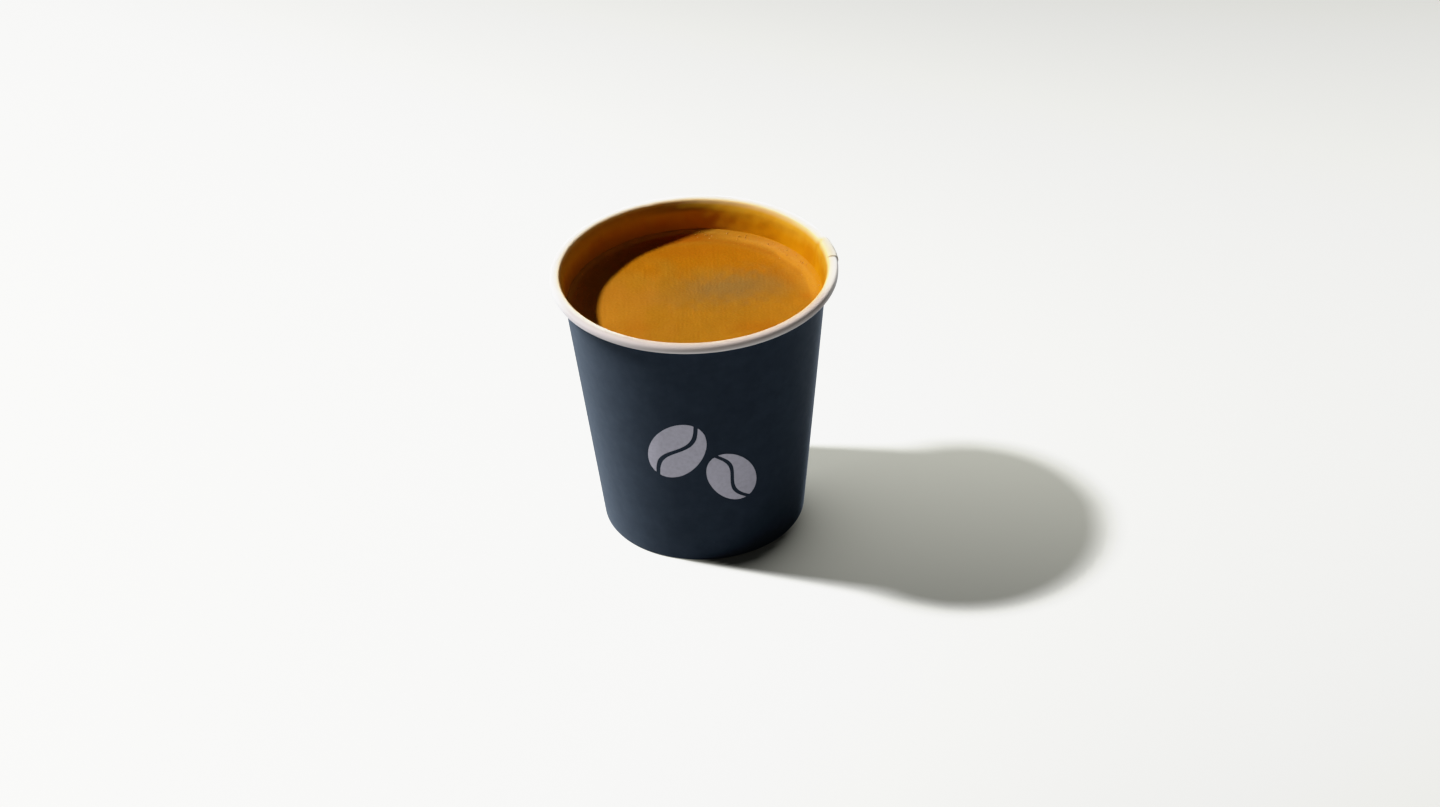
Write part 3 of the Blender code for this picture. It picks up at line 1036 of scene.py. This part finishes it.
class ESPRESSO_OT_film(bpy.types.Operator):
    """Makes the film of coffee left on the inner wall"""

    bl_idname = "espresso.film"
    bl_label = "Film on the wall"

    def execute(self, context):
        scene = context.scene
        azimuth = seam_azimuths(scene.espresso_cup, DRINK_STEPS)
        grid, marks = film_grid(scene.espresso_cup, scene.espresso_drink, azimuth)
        points, quads = ring_solid(grid)
        film = new_piece("wall_film", points, quads, marks, [coffee_film(scene.espresso_colours)])
        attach(film, BODY)
        return {"FINISHED"}


class ESPRESSO_OT_bubbles(bpy.types.Operator):
    """Makes the fine bubbles along the wall"""

    bl_idname = "espresso.bubbles"
    bl_label = "Bubbles"

    def execute(self, context):
        scene = context.scene
        points, quads = bubble_domes(scene.espresso_cup, scene.espresso_drink)
        bubbles = new_piece("edge_bubbles", points, quads, uses=[bubble_skin(scene.espresso_colours)])
        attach(bubbles, BODY)
        return {"FINISHED"}


class ESPRESSO_OT_motif(bpy.types.Operator):
    """Makes the plain motif of two coffee beans on the front of the cup"""

    bl_idname = "espresso.motif"
    bl_label = "Front motif"

    def execute(self, context):
        cup, colours = context.scene.espresso_cup, context.scene.espresso_colours
        solids = []
        for bean in BEANS:
            for side in (-1, 1):
                points, quads = slab_solid(*bean_half(cup, *bean, side))
                solids.append((points, outward(points, quads)))
        points, quads = joined(solids)
        motif = new_piece("front_motif", points, quads, uses=[motif_ink(colours)])
        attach(motif, BODY)
        return {"FINISHED"}


class StageSettings(bpy.types.PropertyGroup):
    """Camera and lights."""

    distance: size("Distance", "From the centre of the cup's foot to the camera", 0.73515)
    elevation: number("Elevation", "Angle of the camera above the table, in degrees", 36.03)
    aim_right: size("Aim right", "How far right of the cup's axis the camera looks", 4.39 * MM)
    aim_up: size("Aim up", "Height at which the camera looks", 26.31 * MM)
    roll: number("Roll", "Roll of the camera, in degrees", -2.49)
    view_width: number("View", "Horizontal angle of the camera's view, in degrees", 25.0)
    sun_elevation: number("Light elevation", "Angle of the key light above the table", 46.0)
    sun_azimuth: number("Light azimuth", "Azimuth that the key light comes from", 166.6)
    sun_power: number("Key", "Strength of the key light", 5.0)
    sun_width: number("Key width", "Angle that the key light fills, in degrees", 5.0)
    wall_width: number("Wall width", "Angle that the key light fills for the paper wall, in degrees", 26.0)
    rim_power: number("Rim light", "Strength of the low light on the paper wall's right side", 4.0)
    rim_width: number("Rim width", "Angle that the rim light fills, in degrees", 30.0)
    rim_elevation: number("Rim elevation", "Angle of the rim light above the table", 4.0)
    rim_azimuth: number("Rim azimuth", "Azimuth that the rim light comes from", 75.0)
    ambient: number("Ambient", "Strength of the light from all around", 0.05)
    fill: number("Fill", "Strength of the low soft light from behind on the right", 0.30)


class ESPRESSO_OT_stage(bpy.types.Operator):
    """Makes the floor, the lights and the camera"""

    bl_idname = "espresso.stage"
    bl_label = "Stage"

    def execute(self, context):
        stage = context.scene.espresso_stage
        make_floor(stage)
        make_lights(context.scene, stage)
        make_camera(context.scene, stage)
        set_film_response(context.scene)
        return {"FINISHED"}


def painted_room_light(stage, x, y):
    """Painted light on the table, standing in for the light that the room sends on to it, and painted shade
    in the table's tone, as shares of their open values.

    Both are 1 outside the cup's shadow, whose sides spread as it runs from the key light to a round end.
    In the shadow the light changes evenly across, from 0.89 on its axis, and near the foot both fall off
    exponentially on the side that the cup hides from the room, as a painted contact shadow."""
    foot, spread, over, end_radius = 22.4 * MM, 8.8 * MM, 60 * MM, 31 * MM
    side_blur, foot_blur = 3 * MM, 6 * MM
    middle, across_slope = 0.89, 11.2
    hidden_from, hidden_over = 22, 80
    far_reach, near_reach, near_share, most = 10 * MM, 2.5 * MM, 0.3, 0.97
    away = np.radians(stage.sun_azimuth + 180)
    along = x * np.cos(away) + y * np.sin(away)
    across = x * np.sin(away) - y * np.cos(away)
    half_width = foot + spread * np.clip(along / over, 0.0, 1.0)
    length = 62 * MM / np.tan(np.radians(stage.sun_elevation)) + end_radius
    into_end = np.clip((along - length + end_radius) / end_radius, 0, 1)
    end = half_width * np.sqrt(np.clip(1 - into_end ** 2, 0, 1))
    within = smooth_step((end - np.abs(across)) / side_blur + 0.5) * smooth_step(along / foot_blur + 0.5)
    shade = middle - across_slope * across
    from_foot = np.maximum(np.hypot(x, y) - foot, 0.0)
    hidden = np.clip((hidden_from - np.degrees(np.arctan2(y, x))) / hidden_over, 0.0, 1.1)
    crowded = hidden * (np.exp(-from_foot / far_reach) + near_share * np.exp(-from_foot / near_reach))
    crowded = np.minimum(crowded, most)
    return 1 + within * (shade * (1 - crowded) - 1), 1 - 0.85 * within * crowded


def make_floor(stage):
    """A flat pale table top: rings round the cup, wider apart further out.

    Its brightness, painted into its colour and its glow, falls off to the right and to the back, as a
    quadratic of the place on it, and the cup's shadow and the dark by its foot are painted in too. The glow
    is painted light, which the camera sees more strongly than the cup gets it."""
    azimuth = turns(FLOOR_STEPS)
    radius = np.concatenate([np.linspace(2 * MM, 120 * MM, 120), np.geomspace(124 * MM, 3.0, 50)])
    rings = revolve(radius[:, None], 0.0, azimuth[None, :])
    mesh = bpy.data.meshes.new("table_top")
    quads = grid_quads(len(radius), FLOOR_STEPS, False, True)[:, ::-1]
    mesh.from_pydata(rings.reshape(-1, 3).tolist(), [], quads.tolist() + [list(range(FLOOR_STEPS))])
    x, y = rings[..., 0], rings[..., 1]
    # Painted light and shade: the table's colour and glow fall off across it, and darken in the cup's shadow
    # and by its foot
    level = np.clip(1.013 - 1.456 * x + 0.121 * y + 2.39 * x**2 - 5.29 * y**2 + 0.88 * x * y, 0.6, 1.3)
    light, tone = painted_room_light(stage, x, y)
    add_mark(mesh, "level", level * tone)
    add_mark(mesh, "painted_room_light", level * light)
    material, tree = new_finish("pale_table", 0.7, Specular_IOR_Level=0.1)
    glow_unseen, glow_seen = 0.11, 0.37
    seen = add(tree, "ShaderNodeLightPath").outputs["Is Camera Ray"]
    glow = times(tree, mark(tree, "painted_room_light"), remap(tree, seen, 0.0, 1.0, glow_unseen, glow_seen))
    painted(material, Base_Color=blend(tree, mark(tree, "level"), BLACK, TABLE), Emission_Color=TABLE_GLOW,
            Emission_Strength=glow)
    mesh.materials.append(material)
    floor = add_object("table_top", mesh)


def add_sun(name, power, width, elevation, azimuth):
    """A distant light: its power in W/m2, its width in the sky and its direction in degrees."""
    sun = bpy.data.lights.new(name, "SUN")
    sun.energy = power
    sun.angle = np.radians(width)
    lamp = add_object(name, sun)
    high, round_it = np.radians(elevation), np.radians(azimuth)
    to_light = Vector((np.cos(high) * np.cos(round_it), np.cos(high) * np.sin(round_it), np.sin(high)))
    lamp.location = to_light * 2.0
    lamp.rotation_euler = to_light.to_track_quat("Z", "Y").to_euler()
    return lamp


def make_lights(scene, stage):
    """The three lights from afar and the soft light from all around.

    A narrow key light comes from the left and behind, and is wider and softer on the paper wall. A low wide
    one from behind on the right reaches only that wall and its rim. The soft light is stronger low behind on
    the right: it adds the cosine of the angle from there, to a power."""
    key = stage.sun_elevation, stage.sun_azimuth
    suns = (
        ("key_light", "EXCLUDE", stage.sun_power, stage.sun_width, *key),
        ("wall_light", "INCLUDE", stage.sun_power, stage.wall_width, *key),
        ("rim_light", "INCLUDE", stage.rim_power, stage.rim_width, stage.rim_elevation, stage.rim_azimuth),
    )
    for name, state, *settings in suns:
        light = add_sun(name, *settings)
        linked = bpy.data.collections.new(name + "_wall")
        linked.objects.link(bpy.data.objects["paper_wall"])
        linked.collection_objects[0].light_linking.link_state = state
        light.light_linking.receiver_collection = linked
    world = bpy.data.worlds.new("studio_light")
    world.use_nodes = True
    tree = world.node_tree
    towards = add(tree, "ShaderNodeVectorMath", {"operation": "DOT_PRODUCT"})
    plug(tree, add(tree, "ShaderNodeTexCoord").outputs["Generated"], towards.inputs[0])
    plug(tree, Vector(SOFT_FROM).normalized(), towards.inputs[1])
    lobe = reckon(tree, "POWER", reckon(tree, "MAXIMUM", towards.outputs["Value"], 0.0), SOFT_FALL)
    soft = plus(tree, stage.ambient, times(tree, lobe, stage.fill))
    seen = add(tree, "ShaderNodeLightPath").outputs["Is Camera Ray"]
    unseen = reckon(tree, "SUBTRACT", 1.0, seen)
    strength = plus(tree, times(tree, seen, BACKDROP), times(tree, unseen, soft))
    plug_all(tree, tree.nodes["Background"], {"Color": SOFT_TINT, "Strength": strength})
    scene.world = world


def set_film_response(scene):
    """Standard view with a camera's response: brightness v = gain x^2 / (x + toe), so that darks deepen a
    little, and above a shoulder it rolls off as shoulder + room (1 - exp(-(v - shoulder) / room))."""
    view = scene.view_settings
    view.view_transform = "Standard"
    view.use_curve_mapping = True
    mapping = view.curve_mapping
    mapping.clip_max_x = WHITEST
    brightness = np.array([0.0, 0.005, 0.01, 0.02, 0.04, 0.08, 0.16, 0.3, 0.5, 0.7, 0.85, 1.0, 1.25, 1.6,
                           WHITEST])
    response = GAIN * brightness**2 / (brightness + TOE)
    rolled = SHOULDER + ROOM * (1 - np.exp(-(response - SHOULDER) / ROOM))
    response = np.where(response > SHOULDER, rolled, response)
    curve = mapping.curves[3]
    curve.points[0].location = (0.0, 0.0)
    curve.points[1].location = (float(brightness[-1]), float(response[-1]))
    for x, y in zip(brightness[1:-1], response[1:-1]):
        curve.points.new(float(x), float(y))
    for point in curve.points:
        point.handle_type = "VECTOR"
    mapping.update()


def make_camera(scene, stage):
    """A camera above the front of the cup that looks at a point on it, then rolls about its line of sight."""
    camera = bpy.data.cameras.new("camera")
    camera.sensor_width = SENSOR
    camera.lens = SENSOR / 2 / np.tan(np.radians(stage.view_width) / 2)
    camera.clip_start = 0.01
    eye = add_object("camera", camera)
    high = np.radians(stage.elevation)
    stands = Vector((0.0, -np.cos(high), np.sin(high))) * stage.distance
    aim = Vector((stage.aim_right, 0.0, stage.aim_up))
    look = (aim - stands).to_track_quat("-Z", "Y").to_matrix().to_4x4()
    turn = Matrix.Rotation(np.radians(stage.roll), 4, "Z")
    eye.matrix_world = Matrix.Translation(stands) @ look @ turn
    scene.camera = eye


class ESPRESSO_PT_panel(bpy.types.Panel):
    """Lists the steps that dress the cup"""

    bl_label = "Espresso Shot"
    bl_idname = "ESPRESSO_PT_panel"
    bl_space_type = "VIEW_3D"
    bl_region_type = "UI"
    bl_category = "Espresso"

    def draw(self, context):
        for step in STEPS:
            self.layout.operator(step.bl_idname)
        for group in GROUPS:
            settings = getattr(context.scene, group)
            self.layout.label(text=GROUPS[group].__doc__)
            for name in GROUPS[group].__annotations__:
                self.layout.prop(settings, name)


GROUPS = {"espresso_cup": CupSizes, "espresso_drink": DrinkSizes, "espresso_colours": Colours,
          "espresso_stage": StageSettings}
STEPS = (ESPRESSO_OT_cup_wall, ESPRESSO_OT_cup_base, ESPRESSO_OT_crema, ESPRESSO_OT_film,
         ESPRESSO_OT_bubbles, ESPRESSO_OT_motif, ESPRESSO_OT_stage)
CLASSES = (*GROUPS.values(), *STEPS, ESPRESSO_PT_panel)


def register():
    """Registers the classes and hangs their settings on the scene."""
    for kind in CLASSES:
        bpy.utils.register_class(kind)
    for name, group in GROUPS.items():
        setattr(bpy.types.Scene, name, PointerProperty(type=group))


def unregister():
    """Takes the settings and the classes away again."""
    for name in GROUPS:
        delattr(bpy.types.Scene, name)
    for kind in reversed(CLASSES):
        bpy.utils.unregister_class(kind)


def clear_defaults():
    """Removes what a new file holds besides the frame."""
    kept = set(frame["nodes"].values()) | set(frame["bodies"].values())
    for thing in list(bpy.data.objects):
        if thing not in kept:
            bpy.data.objects.remove(thing)


def main():
    """Registers the add-on and runs its steps in order."""
    register()
    clear_defaults()
    bpy.ops.espresso.cup_wall()
    bpy.ops.espresso.cup_base()
    bpy.ops.espresso.crema()
    bpy.ops.espresso.film()
    bpy.ops.espresso.bubbles()
    bpy.ops.espresso.motif()
    bpy.ops.espresso.stage()


if __name__ == "__main__":
    main()
